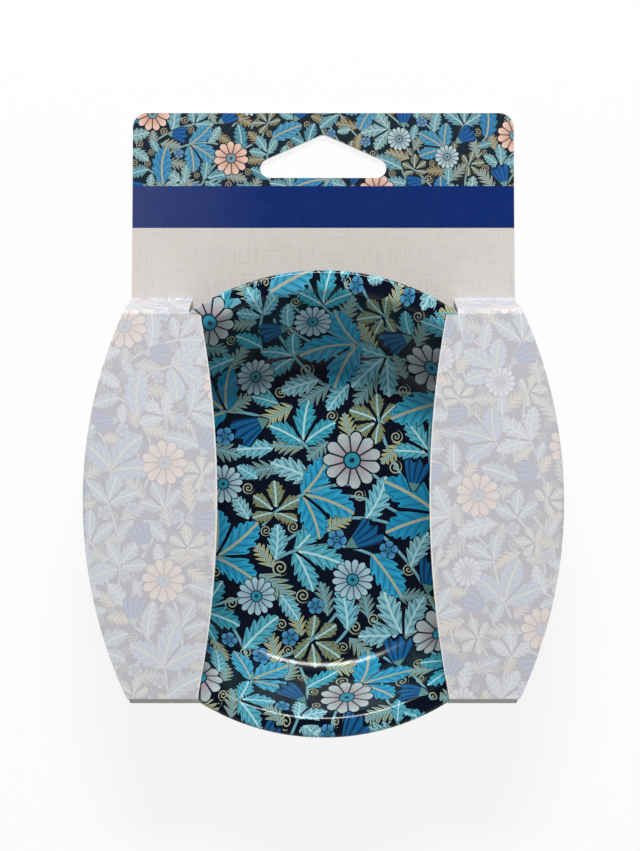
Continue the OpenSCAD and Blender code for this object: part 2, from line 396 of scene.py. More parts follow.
def print_on(mesh, x, y):
    """Stores the print's numbers on a mesh's points, which lie at x, y mm on the printed sheet.
    Each layer gives a vector of depth, across and along, from the motif that is deepest there,
    and that motif's tone. Where two leaves of a bunch overlap, the depth is at most that over
    the second deepest, less a seam, which parts them by a line of the ground."""
    for layer in print_layers:
        shape = np.full((x.size, 3), -9.0, np.float32)
        tone = np.zeros(x.size, np.float32)
        second = np.full(x.size, -9.0, np.float32)
        for motif in motifs[layer]:
            reach = motif["length"] + motif["half"] + clear_gap
            near = np.flatnonzero((np.abs(x - motif["x"]) < reach)
                                  & (np.abs(y - motif["y"]) < reach))
            depth, across, along = motif_field(x[near], y[near], motif)
            won = depth > shape[near, 0]
            second[near] = np.maximum(second[near], np.minimum(depth, shape[near, 0]))
            near = near[won]
            shape[near] = np.stack([depth[won], across[won], along[won]], 1)
            tone[near] = motif["tone"]
        if layer != "stem":
            shape[:, 0] = np.minimum(shape[:, 0], shape[:, 0] - second - seam_gap)
        mesh.attributes.new(layer, "FLOAT_VECTOR", "POINT").data.foreach_set(
            "vector", shape.ravel())
        mesh.attributes.new(layer + "_tone", "FLOAT", "POINT").data.foreach_set("value", tone)


def layer_numbers(tree, layer):
    """Depth, across and along of a layer of the print, as sockets."""
    stored = add(tree, "Attribute", attribute_name=layer)
    return add(tree, "SeparateXYZ", stored.outputs["Vector"]).outputs


def layer_tone(tree, layer):
    """The number from 0 to 1 that picks a motif's ink, as a socket."""
    return add(tree, "Attribute", attribute_name=layer + "_tone").outputs["Fac"]


def from_middle(tree, place):
    """Distance from the middle of a pattern's period of 1: 0 there and 0.5 at its ends."""
    part = add(tree, "Math FRACT", place)
    part = add(tree, "Math SUBTRACT", part, 0.5)
    return add(tree, "Math ABSOLUTE", part)


def lobed(tree, depth, across, along, lobes, lean, fullness, notch):
    """A leaf cut into lobes on both sides of its rib. With E the leaf's outline and h the
    distance from the nearest lobe's middle line, in lobe spacings, a point is inside where
    fullness (1 - (across / E) ^ 2) - h is above 0, less a small saw tooth that notches the
    lobes' edges. Returns that, h and the across share."""
    rest = add(tree, "Math SUBTRACT", 1.0, along)
    swell = add(tree, "Math MULTIPLY", along, rest)
    swell = add(tree, "Math MULTIPLY", swell, 4.0)
    swell = add(tree, "Math POWER", swell, 0.6)
    away = add(tree, "Math ABSOLUTE", across)
    share = add(tree, "Math DIVIDE", away, swell)
    filled = add(tree, "Math MULTIPLY", share, share)
    filled = add(tree, "Math MULTIPLY_ADD", filled, -fullness, fullness)
    side = add(tree, "Math LESS_THAN", across, 0.0)
    place = add(tree, "Math MULTIPLY", along, lobes)
    place = add(tree, "Math MULTIPLY_ADD", side, 0.5, place)
    place = add(tree, "Math MULTIPLY_ADD", away, -lean, place)
    off = from_middle(tree, place)
    inside = add(tree, "Math SUBTRACT", filled, off)
    tooth = add(tree, "Math MULTIPLY", share, 5.0)
    tooth = add(tree, "Math FRACT", tooth)
    inside = add(tree, "Math MULTIPLY_ADD", tooth, -notch, inside)
    return add(tree, "Math MINIMUM", inside, depth), off, share


def polar(tree, across, along):
    """Distance from a round motif's middle over its radius, and the angle in whole turns."""
    far = add(tree, "Math MULTIPLY_ADD", across, across, add(tree, "Math MULTIPLY", along, along))
    angle = add(tree, "Math ARCTAN2", along, across)
    return add(tree, "Math SQRT", far), add(tree, "Math DIVIDE", angle, 2 * math.pi)


def over(tree, below, colour, inside, ground, halo=0.0):
    """Lays a motif over what is below it, with a rim of the ground colour round the motif."""
    rim = add(tree, "Math GREATER_THAN", inside, -halo)
    cleared = add(tree, "Mix", rim, below, ground)
    mask = add(tree, "Math GREATER_THAN", inside, 0.0)
    return add(tree, "Mix", mask, cleared, colour)


def leaf_ink(tree, tone, inside, off, share, across, bodies, shade, vein, rib):
    """Ink of a leaf: its body in a few tones, darker towards the rib, with a fine vein along
    the middle of each lobe and a line along the rib."""
    body = add(tree, "ValToRGB", tone, steps=True,
               stops=[(i / len(bodies), code) for i, code in enumerate(bodies)])
    deep = add(tree, "MapRange", inside, 0.02, 0.6, 0.0, 0.6)
    colour = add(tree, "Mix", deep, body, shade)
    fine = add(tree, "MapRange", off, 0.04, 0.1, 0.8, 0.0)
    near = add(tree, "Math LESS_THAN", share, 0.8)
    fine = add(tree, "Math MULTIPLY", fine, near)
    colour = add(tree, "Mix", fine, colour, vein)
    middle = add(tree, "Math ABSOLUTE", across)
    middle = add(tree, "Math LESS_THAN", middle, 0.08)
    return add(tree, "Mix", middle, colour, rib)


def floral(tree, inks):
    """The print's colour, drawn layer over layer from the ground up."""
    ground = inks["ground"]

    # Stems: plain lines
    depth, across, _ = layer_numbers(tree, "stem")
    away = add(tree, "Math ABSOLUTE", across)
    inside = add(tree, "Math SUBTRACT", 0.42, away)
    inside = add(tree, "Math MINIMUM", inside, depth)
    colour = over(tree, ground, inks["stem"], inside, ground)

    # Sprigs: narrow slanting lobes on a twig
    depth, across, along = layer_numbers(tree, "sprig")
    inside, off, share = lobed(tree, depth, across, along, 5.0, lean=1.5,
                               fullness=0.46, notch=0.0)
    twig = add(tree, "Math ABSOLUTE", across)
    twig = add(tree, "Math SUBTRACT", 0.09, twig)
    twig = add(tree, "Math MINIMUM", twig, depth)
    inside = add(tree, "Math MAXIMUM", inside, twig)
    paint = leaf_ink(tree, layer_tone(tree, "sprig"), inside, off, share, across,
                     inks["sprig"], inks["sprig_shade"], inks["sprig_shade"], inks["stem"])
    colour = over(tree, colour, paint, inside, ground, halo=0.1)

    # Scrolls: a line where distance and angle together come to a whole number and a half
    depth, across, along = layer_numbers(tree, "scroll")
    far, angle = polar(tree, across, along)
    coil = from_middle(tree, add(tree, "Math MULTIPLY_ADD", far, 1.9, angle))
    coil = add(tree, "Math SUBTRACT", 0.17, coil)
    inside = add(tree, "Math MINIMUM", coil, depth)
    colour = over(tree, colour, inks["scroll"], inside, ground)

    # Ferns, and the broader leaves over them
    for layer, lean, fullness, notch in (("fern", 1.6, 0.78, 0.16), ("leaf", 1.8, 1.05, 0.2)):
        depth, across, along = layer_numbers(tree, layer)
        inside, off, share = lobed(tree, depth, across, along, 5.0, lean, fullness, notch)
        paint = leaf_ink(tree, layer_tone(tree, layer), inside, off, share, across,
                         inks[layer], *(inks[layer + end] for end in ("_shade", "_vein", "_rib")))
        colour = over(tree, colour, paint, inside, ground, halo=0.13)

    # Bellflowers: a flared cup with a scalloped hem and dark stripes
    depth, across, along = layer_numbers(tree, "bell")
    flare = add(tree, "Math POWER", along, 0.75)
    hem = add(tree, "Math MULTIPLY", across, 10.0)
    hem = add(tree, "Math COSINE", hem)
    hem = add(tree, "Math MULTIPLY_ADD", hem, 0.07, 0.86)
    hem = add(tree, "Math SUBTRACT", hem, along)
    side = add(tree, "Math ABSOLUTE", across)
    side = add(tree, "Math SUBTRACT", flare, side)
    inside = add(tree, "Math MINIMUM", hem, side)
    inside = add(tree, "Math MINIMUM", inside, depth)
    stripe = add(tree, "Math DIVIDE", across, flare)
    stripe = add(tree, "Math MULTIPLY", stripe, 12.0)
    stripe = add(tree, "Math SINE", stripe)
    stripe = add(tree, "MapRange", stripe, 0.2, 0.7)
    paint = add(tree, "Mix", stripe, inks["bell"], inks["bell_line"])
    cup = add(tree, "Math LESS_THAN", along, 0.24)
    paint = add(tree, "Mix", cup, paint, inks["bell_cup"])
    colour = over(tree, colour, paint, inside, ground, halo=0.09)

    # Flowers: stars with 5 round petals, asters with 14 and daisies with 11, parted by gaps
    # and creased along their length, round an eye with a dark ring
    depth, across, along = layer_numbers(tree, "flower")
    tone = layer_tone(tree, "flower")
    far, angle = polar(tree, across, along)
    large = add(tree, "Math GREATER_THAN", tone, 0.33)
    largest = add(tree, "Math GREATER_THAN", tone, 0.66)
    petals = add(tree, "Math MULTIPLY_ADD", large, 9.0, 5.0)
    petals = add(tree, "Math MULTIPLY_ADD", largest, -3.0, petals)
    off = from_middle(tree, add(tree, "Math MULTIPLY", angle, petals))
    tip = add(tree, "Math POWER", off, 2.2)
    tip = add(tree, "Math MULTIPLY_ADD", tip, -1.1, 0.97)
    inside = add(tree, "Math SUBTRACT", tip, far)
    inside = add(tree, "Math MINIMUM", inside, depth)
    foot, end = (add(tree, "ValToRGB", tone, steps=True, stops=[
        (0.0, inks["star" + part]), (0.33, inks["aster" + part]),
        (0.66, inks["petal" + part])]) for part in ("_foot", "_tip"))
    spread = add(tree, "MapRange", far, 0.25, 0.85)
    paint = add(tree, "Mix", spread, foot, end)
    gap = add(tree, "Math DIVIDE", 0.05, far)
    gap = add(tree, "Math ADD", off, gap)
    gap = add(tree, "Math GREATER_THAN", gap, 0.49)
    paint = add(tree, "Mix", gap, paint, inks["petal_gap"])
    crease = add(tree, "Math MULTIPLY", off, 24.0)
    crease = add(tree, "Math COSINE", crease)
    crease = add(tree, "MapRange", crease, 0.6, 1.0, 0.0, 0.3)
    paint = add(tree, "Mix", crease, paint, foot)
    for name, reach in (("petal_gap", 0.31), ("eye", 0.25), ("petal_gap", 0.09)):
        disc = add(tree, "Math LESS_THAN", far, reach)
        paint = add(tree, "Mix", disc, paint, inks[name])
    return over(tree, colour, paint, inside, ground, halo=0.07)


tin_inks = {
    "ground": "#000a1e", "stem": "#6fa9b8", "scroll": "#aab194",
    "sprig": ["#bcbf96", "#94aea2", "#78a0a4"], "sprig_shade": "#62786c",
    "fern": ["#85cad8", "#60b7c8", "#9accd4", "#42a9bf", "#968f4a"],
    "fern_shade": "#2f8ca4", "fern_vein": "#155c72", "fern_rib": "#b2dadd",
    "leaf": ["#36add4", "#57b8d4", "#2496c0", "#46b2cf"], "leaf_shade": "#177da6",
    "leaf_vein": "#0e5a80", "leaf_rib": "#aeb094",
    "bell": "#125f94", "bell_line": "#0b365a", "bell_cup": "#5a8a84",
    "petal_foot": "#a18d91", "petal_tip": "#b4c3c4", "petal_gap": "#12303e",
    "aster_foot": "#8aa3b8", "aster_tip": "#a9cbd4",
    "star_foot": "#3a5a98", "star_tip": "#4b9bc2", "eye": "#2b8ba4",
}

# Offset-printed tinplate under stoved varnish: sharp glints on the bends, softened by a faint
# orange peel. The inks are slightly uneven in tone, and the varnish is rubbed a little duller
# in patches. Its IOR is set under the usual 1.5, so that the dark ground stays as deep as on
# the real tin. These sizes and those of all patterns below are in mm.
ink_mottle = 1.11
peel_size = 2.0
rubbed_size = 16.7
printed_tin, tree, place = new_material("varnished_tin_print")
mottle = add(tree, "TexNoise", place, Scale=1 / (ink_mottle * MM), Detail=3.0)
mottle = add(tree, "MapRange", mottle, 0.3, 0.7, 0.93, 1.05)
inks = add(tree, "Mix", 1.0, floral(tree, tin_inks), mottle, blend_type="MULTIPLY")
peel = add(tree, "TexNoise", place, Scale=1 / (peel_size * MM), Detail=1.0)
relief = add(tree, "Bump", Strength=0.05, Distance=0.0003, Height=peel)
worn = add(tree, "TexNoise", place, Scale=1 / (rubbed_size * MM), Detail=4.0)
gloss = add(tree, "MapRange", worn, 0.3, 0.7, 0.13, 0.2)
add(tree, "OutputMaterial", add(tree, "BsdfPrincipled", Base_Color=inks, Roughness=gloss,
                                Normal=relief, IOR=1.36))

# Cold-rolled tinplate under clear lacquer: fine rolling lines along X, 0.15 mm apart, drawn
# twice as coarse to show, stretch the reflections and give it a grey sheen.
rolling_gap = 0.303
rolled_tin, tree, place = new_material("lacquered_rolled_tinplate")
lines = add(tree, "Mapping", place, Scale=(0.03, 1.0, 1.0))
lines = add(tree, "TexNoise", lines, Scale=1 / (rolling_gap * MM), Detail=2.0)
grain = add(tree, "MapRange", lines, 0.3, 0.7, 0.26, 0.42)
tint = add(tree, "ValToRGB", lines, stops=[(0.3, "#a9a8a4"), (0.7, "#c9c8c3")])
relief = add(tree, "Bump", Strength=0.1, Distance=0.0001, Height=lines)
add(tree, "OutputMaterial", add(tree, "BsdfPrincipled", Base_Color=tint, Metallic=1.0,
                                Roughness=grain, Normal=relief, Coat_Weight=0.3,
                                Coat_Roughness=0.2))

# The print runs over the bead and ends under its curl
print_on(bowl.data, sheet_x, sheet_y)
bowl.data.materials.append(printed_tin)
bowl.data.materials.append(rolled_tin)
print_rows = len(printed) + int(len(bead) * 0.6)
outside = np.concatenate([np.repeat(np.arange(len(profile) - 1) >= print_rows, around),
                          np.zeros(around, bool), np.ones(around, bool)])
bowl.data.polygons.foreach_set("material_index", outside.astype(np.int32))
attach(bowl, "bowl")
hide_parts("bowl")


# The adhesive disc.
# A double-sided disc of acrylic foam, die-cut, that holds the base to the underside of the
# tin. Its closed cells give the cream surface a fine dull dimpling.
tape_cell = 0.4

foam_tape, tree, place = new_material("acrylic_foam_tape")
cells = add(tree, "TexVoronoi", place, Scale=1 / (tape_cell * MM))
tint = add(tree, "ValToRGB", cells, stops=[(0.0, "#cdc295"), (0.6, "#ded4ae")])
relief = add(tree, "Bump", Strength=0.3, Distance=0.0001, Height=cells)
add(tree, "OutputMaterial", add(tree, "BsdfPrincipled", Base_Color=tint, Roughness=0.75,
                                Normal=relief))
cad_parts["adhesive_disc"].data.materials[0] = foam_tape


# The magnets.
# Seven sintered ferrite discs, pressed, fired and ground flat: dark grey, dull, with fine pits
# where grains broke out.
ferrite_pit = 0.333

ferrite, tree, place = new_material("sintered_ferrite")
grains = add(tree, "TexNoise", place, Scale=1 / (ferrite_pit * MM), Detail=4.0)
tint = add(tree, "ValToRGB", grains, stops=[(0.35, "#2c2c2e"), (0.7, "#4a4a4c")])
relief = add(tree, "Bump", Strength=0.4, Distance=0.0001, Height=grains)
add(tree, "OutputMaterial", add(tree, "BsdfPrincipled", Base_Color=tint, Roughness=0.6,
                                Normal=relief))
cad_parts["magnets"].data.materials[0] = ferrite


# The magnet cage.
# A moulded disc of natural polystyrene with a round pocket for each magnet. Faint flow lines
# from the moulding cloud its surface.
flow_gap = 4.55

cage_plastic, tree, place = new_material("moulded_polystyrene")
flow_lines = add(tree, "TexNoise", place, Scale=1 / (flow_gap * MM), Detail=3.0,
                 Distortion=0.6)
tint = add(tree, "ValToRGB", flow_lines, stops=[(0.3, "#d9d6cb"), (0.7, "#ebe9e1")])
relief = add(tree, "Bump", Strength=0.15, Distance=0.0002, Height=flow_lines)
add(tree, "OutputMaterial", add(tree, "BsdfPrincipled", Base_Color=tint, Roughness=0.4,
                                Normal=relief))
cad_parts["magnet_cage"].data.materials[0] = cage_plastic


# The backing plate.
# A punched disc of zinc-plated mild steel that closes the magnets' field on their far side.
# The plating's crystals differ a little in tone and gloss.
crystal_size = 2.22

zinc, tree, place = new_material("zinc_plated_steel")
spangle = add(tree, "TexVoronoi", place, Scale=1 / (crystal_size * MM))
tint = add(tree, "ValToRGB", spangle, stops=[(0.0, "#9aa0a5"), (0.8, "#b9bec2")])
worn = add(tree, "MapRange", spangle, 0.0, 0.8, 0.28, 0.46)
add(tree, "OutputMaterial", add(tree, "BsdfPrincipled", Base_Color=tint, Metallic=1.0,
                                Roughness=worn))
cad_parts["backing_plate"].data.materials[0] = zinc


# The base cup.
# A cup of black ABS, moulded with a fine matt spark texture outside, glued under the tin. The
# texture's pits are 0.2 mm across, drawn twice as coarse to show.
spark_pit = 0.385

black_abs, tree, place = new_material("spark_textured_abs")
spark = add(tree, "TexNoise", place, Scale=1 / (spark_pit * MM), Detail=2.0)
tint = add(tree, "ValToRGB", spark, stops=[(0.3, "#151618"), (0.75, "#26272a")])
relief = add(tree, "Bump", Strength=0.35, Distance=0.0001, Height=spark)
matt = add(tree, "MapRange", spark, 0.3, 0.7, 0.42, 0.58)
add(tree, "OutputMaterial", add(tree, "BsdfPrincipled", Base_Color=tint, Roughness=matt,
                                Normal=relief))
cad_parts["base_cup"].data.materials[0] = black_abs


# The non-slip pad.
# A die-cut disc of closed-cell foam rubber, stuck under the cup: dark grey, with open pores
# where the sheet was split.
rubber_pore = 0.556

foam_rubber, tree, place = new_material("closed_cell_foam_rubber")
cells = add(tree, "TexVoronoi", place, Scale=1 / (rubber_pore * MM))
tint = add(tree, "ValToRGB", cells, stops=[(0.0, "#1b1b1d"), (0.6, "#343437")])
relief = add(tree, "Bump", Strength=0.6, Distance=0.0002, Height=cells)
add(tree, "OutputMaterial", add(tree, "BsdfPrincipled", Base_Color=tint, Roughness=0.9,
                                Normal=relief))
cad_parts["non_slip_pad"].data.materials[0] = foam_rubber


# The back panel and the glue flanges.
# Plain uncoated side of folding boxboard: off-white, with a soft pattern of fibres, and a
# greyer core showing at its cut edges. The flanges are glued to the panel.
board_fibre = 0.625

board, tree, place = new_material("uncoated_boxboard")
fibres = add(tree, "Mapping", place, Scale=(1.0, 0.35, 1.0))
fibres = add(tree, "TexNoise", fibres, Scale=1 / (board_fibre * MM), Detail=5.0)
tint = add(tree, "ValToRGB", fibres, stops=[(0.3, "#dcd8d4"), (0.7, "#e9e6e3")])
facing = add(tree, "SeparateXYZ", add(tree, "NewGeometry").outputs["Normal"]).outputs["Z"]
cut = add(tree, "Math ABSOLUTE", facing)
cut = add(tree, "Math LESS_THAN", cut, 0.5)
tint = add(tree, "Mix", cut, tint, "#cfcac6")
relief = add(tree, "Bump", Strength=0.2, Distance=0.0001, Height=fibres)
add(tree, "OutputMaterial", add(tree, "BsdfPrincipled", Base_Color=tint, Roughness=0.72,
                                Normal=relief))
for name in ("back_panel", "left_glue_flange", "right_glue_flange"):
    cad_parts[name].data.materials[0] = board


# The header.
# Front ply of the card, glued to the back panel and punched with it for the hang hole. It is
# offset-printed under satin varnish: the floral print, a blue band, and linen to the fold.
header_low, header_high = (np.array(corner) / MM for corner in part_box("header_front"))
header_half, header_top, header_z = header_high
tongue_y = header_low[1]
riser_low, riser_high = (np.array(corner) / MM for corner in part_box("right_riser"))
riser_in_x = riser_low[0]
fold_y = riser_high[1]
wing_low, wing_high = (np.array(corner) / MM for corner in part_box("right_wing"))
sleeve_top = wing_high[2]
card_t = (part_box("back_panel")[1].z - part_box("back_panel")[0].z) / MM
head_y = fold_y - (fold_y - wing_high[1]) * (sleeve_top - header_z) / (wing_low[2] - header_z)
riser_slope = math.atan2(sleeve_top - header_z, fold_y - head_y)
head_bend_r = 1.6
foot_bend_r = 0.7
corner_r = 3.5
hole_half = 15.3
hole_h = 10.6
hole_end_r = 2.4
hole_peak_r = 2.6
hole_drop = 16.0
hole_step = 0.1
band_drop = 18.0
band_h = 10.3
header_rows = 140
plain_step = 1.2
print_step = 0.3
header_back_step = 20
header_print_scale = 0.6
header_print_shift = (6.0, -95.0)


def card_sheet(name, face, front, closed=False, back_step=1):
    """A sheet of card from the grid of points of its outer face, in mm. The inner face lies
    card_t behind it along the grid's own normals, and strips close the edges. Closed joins the
    last column to the first; then the inner face may keep only every back_step-th row."""
    rows, columns = face.shape[:2]
    down = np.gradient(face, axis=0)
    if closed:
        across = (np.roll(face, -1, 1) - np.roll(face, 1, 1)) / 2
    else:
        across = np.gradient(face, axis=1)
    normal = np.cross(down, across)
    normal /= np.linalg.norm(normal, axis=2, keepdims=True)
    kept = np.unique(np.append(np.arange(0, rows, back_step), rows - 1))
    back = (face - card_t * normal)[kept]
    outer = np.arange(rows * columns).reshape(rows, columns)
    inner = outer.size + np.arange(len(kept) * columns).reshape(-1, columns)
    rest = [inner[::-1], np.stack([inner[0], outer[0]]), np.stack([outer[-1], inner[-1]])]
    if not closed:
        rest.append(np.stack([outer[:, -1], inner[:, -1]], 1))
        rest.append(np.stack([inner[:, 0], outer[:, 0]], 1))
    front_faces = grid_faces(outer, closed)
    cut_faces = np.vstack([grid_faces(numbers, closed) for numbers in rest])
    piece = place_mesh(name, np.vstack([face.reshape(-1, 3), back.reshape(-1, 3)]),
                       np.vstack([front_faces, cut_faces]).tolist())
    piece.data.materials.append(front)
    piece.data.materials.append(card_core)
    piece.data.polygons.foreach_set(
        "material_index", np.repeat([0, 1], [len(front_faces), len(cut_faces)]).astype(np.int32))
    return piece, kept


# The plain inside of the card and its cut edge: bare white fibres
core_fibre = 0.455
card_core, tree, place = new_material("cut_white_card")
fibres = add(tree, "TexNoise", place, Scale=1 / (core_fibre * MM), Detail=4.0)
tint = add(tree, "ValToRGB", fibres, stops=[(0.3, "#e2e0da"), (0.7, "#f0efea")])
relief = add(tree, "Bump", Strength=0.25, Distance=0.0001, Height=fibres)
add(tree, "OutputMaterial", add(tree, "BsdfPrincipled", Base_Color=tint, Roughness=0.8,
                                Normal=relief))

# The hang hole: a triangle with a rounded peak and rounded ends, drawn as tangent arcs
end_c = np.array([hole_half - hole_end_r, header_top - hole_drop + hole_end_r])
peak_c = np.array([0, header_top - hole_drop + hole_h - hole_peak_r])
span = peak_c - end_c
rise = (math.atan2(span[1], span[0])
        - math.acos((hole_end_r - hole_peak_r) / np.linalg.norm(span)))
right_end = arc_points(end_c, hole_end_r, -math.pi / 2, rise, hole_step)
peak = arc_points(peak_c, hole_peak_r, rise, math.pi - rise, hole_step)
left_end = (right_end * [-1, 1])[::-1]
hole = np.vstack([right_end, line_points(right_end[-1], peak[0], hole_step), peak,
                  line_points(peak[-1], left_end[0], hole_step), left_end,
                  line_points(left_end[-1], right_end[0], hole_step)])

# The outline, from the tongue between the risers round to the top, with points closer together
# where the print reaches it
foot_y = fold_y + foot_bend_r * math.tan(riser_slope / 2)
corner_c = np.array([header_half - corner_r, header_top - corner_r])
corner = arc_points(corner_c, corner_r, 0, math.pi / 2, print_step)
turns = np.array([[riser_in_x, tongue_y], [riser_in_x, foot_y], [header_half, foot_y],
                  [header_half, header_top - band_drop], corner[0]])
half_outline = np.vstack([
    turns[:1], line_points(turns[0], turns[1], plain_step),
    turns[1:2], line_points(turns[1], turns[2], plain_step),
    turns[2:3], line_points(turns[2], turns[3], plain_step),
    turns[3:4], line_points(turns[3], turns[4], print_step), corner])
left_outline = (half_outline * [-1, 1])[::-1]
outline = np.vstack([half_outline, line_points(half_outline[-1], left_outline[0], print_step),
                     left_outline,
                     line_points(left_outline[-1], half_outline[0], plain_step)])


def around_hole(outline, hole, rows):
    """Rows of points from a hole's edge to an outline, both seen round the hole's middle: each
    outline point has a partner on the hole's edge in the same direction, and the rows divide
    the straight line between the two."""
    middle = (hole.min(0) + hole.max(0)) / 2
    hole_angle = np.arctan2(*(hole - middle).T[::-1])
    order = np.argsort(hole_angle)
    hole_r = np.hypot(*(hole - middle).T)
    angle = np.arctan2(*(outline - middle).T[::-1])
    radius = np.interp(angle, hole_angle[order], hole_r[order], period=2 * math.pi)
    partner = middle + radius[:, None] * np.stack([np.cos(angle), np.sin(angle)], 1)
    share = np.linspace(0, 1, rows)[:, None, None]
    return partner + (outline - partner) * share


header_grid = around_hole(outline, hole, header_rows)
header_face = np.dstack([header_grid, np.full(header_grid.shape[:2], header_z)])

header_inks = {
    "ground": "#15232f", "stem": "#84a7a8", "scroll": "#b3a98c",
    "sprig": ["#bba883", "#98a79c", "#a89468", "#a5b3ab"], "sprig_shade": "#746a53",
    "fern": ["#88b6bd", "#74a5b0", "#9dbdbd", "#5c98a8", "#94804a"],
    "fern_shade": "#4b8695", "fern_vein": "#2c5c6c", "fern_rib": "#b0cac8",
    "leaf": ["#4a97c0", "#5fa3c1", "#3a84b0", "#5a9fbb"], "leaf_shade": "#2f76a0",
    "leaf_vein": "#235c82", "leaf_rib": "#b0a88b",
    "bell": "#1f5f9f", "bell_line": "#193f70", "bell_cup": "#73948c",
    "petal_foot": "#cc9888", "petal_tip": "#e6c4b2", "petal_gap": "#4d3f4a",
    "aster_foot": "#8ca6b3", "aster_tip": "#b9cdcf",
    "star_foot": "#4b6aa0", "star_tip": "#639dc2", "eye": "#6f9aa2",
}

# Offset-printed coated card: smooth and satin, with the fine mottle of its ink. The linen is a
# printed weave of threads, long one way and fine the other. The band's deep blue carries a
# painted sheen that lightens it towards its left end, where the real one catches the light.
thread_gap = 0.294
band_tone_size = 3.33
card_mottle = 0.385
header_card, tree, place = new_material("satin_printed_card")
spot = add(tree, "SeparateXYZ", place).outputs
warp = add(tree, "Mapping", place, Scale=(1.0, 0.04, 1.0))
warp = add(tree, "TexNoise", warp, Scale=1 / (thread_gap * MM), Detail=2.0)
weft = add(tree, "Mapping", place, Scale=(0.04, 1.0, 1.0))
weft = add(tree, "TexNoise", weft, Scale=1 / (thread_gap * MM), Detail=2.0)
weave = add(tree, "Math MINIMUM", warp, weft)
linen = add(tree, "ValToRGB", weave, stops=[(0.25, "#cbc3be"), (0.5, "#d8d2cd")])
band_tone_and_sheen = add(tree, "TexNoise", place, Scale=1 / (band_tone_size * MM), Detail=3.0)
band_tone_and_sheen = add(tree, "MapRange", band_tone_and_sheen, 0.3, 0.7, 0.45, 0.55)
# Painted sheen: the band's blue is lightened from about the middle out to its left end
painted_sheen = add(tree, "MapRange", spot["X"], -header_half * MM, -12 * MM, 0.5, 0.0)
band_tone_and_sheen = add(tree, "Math ADD", band_tone_and_sheen, painted_sheen)
blue = add(tree, "ValToRGB", band_tone_and_sheen, stops=[(0.5, "#00266b"), (1.0, "#333f72")])
band_top = (header_top - band_drop) * MM
in_blue = add(tree, "Math GREATER_THAN", spot["Y"], band_top - band_h * MM)
in_print = add(tree, "Math GREATER_THAN", spot["Y"], band_top)
colour = add(tree, "Mix", in_blue, linen, blue)
colour = add(tree, "Mix", in_print, colour, floral(tree, header_inks))
mottle = add(tree, "TexNoise", place, Scale=1 / (card_mottle * MM), Detail=2.0)
sheen = add(tree, "MapRange", mottle, 0.3, 0.7, 0.38, 0.5)
relief = add(tree, "Bump", Strength=0.06, Distance=0.0001, Height=mottle)
add(tree, "OutputMaterial", add(tree, "BsdfPrincipled", Base_Color=colour, Roughness=sheen,
                                Specular_IOR_Level=0.12, Normal=relief))


def print_sheet(piece, kept, across, along, scale, shift):
    """Prints a card sheet whose outer face lies at across, along mm on its own artwork. The
    inner face repeats its outer neighbours' numbers, which nothing shows."""
    x = across / scale + shift[0]
    y = along / scale + shift[1]
    print_on(piece.data, np.append(x.ravel(), x[kept].ravel()),
             np.append(y.ravel(), y[kept].ravel()))


header, kept = card_sheet("header_card", header_face, header_card, closed=True,
                          back_step=header_back_step)
print_sheet(header, kept, header_grid[..., 0], header_grid[..., 1], header_print_scale,
            header_print_shift)
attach(header, "card_sleeve")
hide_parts("header_front")


# The wings.
# The card folds over the rim from each side and leaves a window between. The print goes on
# over it, almost white, and the die bares a fine line of white core along the window's edges.
side_bow_r = 110.0
side_bow_rise = 1.0
window_bow_r = 240.0
window_half = 24.8
fold_r = 0.9
fold_parts = 6
sheet_step = 0.42
wing_columns = 88
wall_start_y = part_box("right_side_wall")[0].y / MM
wing_print_scale = 0.74
wing_print_shift = (0.0, 12.0)


def bow_x(y):
    """Half width of the sleeve between its curved side folds: a circle's edge."""
    return wing_high[0] - side_bow_r + np.sqrt(side_bow_r ** 2 - (y - side_bow_rise) ** 2)


wing_inks = {
    "ground": "#bfbdc3", "stem": "#d5d6d7", "scroll": "#d6d3cf",
    "sprig": ["#ded9d1", "#d8d4ce", "#d5d7d5"], "sprig_shade": "#cecbc8",
    "fern": ["#d4d7dc", "#d0d5db", "#dbdddf", "#ced2d8", "#ddd7cd"],
    "fern_shade": "#c8ccd3", "fern_vein": "#c5c9d1", "fern_rib": "#dddee0",
    "leaf": ["#d1d5df", "#d5d9e0", "#ccd0dc", "#d3d8df"], "leaf_shade": "#c7ccd7",
    "leaf_vein": "#bfc3d0", "leaf_rib": "#dbd8d2",
    "bell": "#bfc2d0", "bell_line": "#b7bbc8", "bell_cup": "#ccd0d2",
    "petal_foot": "#dbcfcb", "petal_tip": "#e2d9d4", "petal_gap": "#c6c0c5",
    "aster_foot": "#d3d3d7", "aster_tip": "#dcdde0",
    "star_foot": "#c5c8d4", "star_tip": "#cfd4dc", "eye": "#c8cdd2",
}

# The same coated card with the artwork printed faint: pale lavender, blue, peach and cream
wing_card, tree, place = new_material("faint_printed_card")
mottle = add(tree, "TexNoise", place, Scale=1 / (card_mottle * MM), Detail=2.0)
sheen = add(tree, "MapRange", mottle, 0.3, 0.7, 0.4, 0.52)
relief = add(tree, "Bump", Strength=0.06, Distance=0.0001, Height=mottle)
add(tree, "OutputMaterial", add(tree, "BsdfPrincipled", Base_Color=floral(tree, wing_inks),
                                Roughness=sheen, Specular_IOR_Level=0.3, Normal=relief))


def sleeve_piece(node, side, face, across, along):
    """A printed sheet of the sleeve in place of a CAD node. The face is given for x > 0 with
    its columns going outwards or down; side -1 mirrors it, and the print isn't mirrored."""
    order = slice(None, None, -side)
    face = (face * [side, 1, 1])[:, order]
    piece, kept = card_sheet(node + "_card", face, wing_card)
    print_sheet(piece, kept, side * across[:, order], along[:, order], wing_print_scale,
                wing_print_shift)
    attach(piece, "card_sleeve")
    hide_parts(node)
    return piece


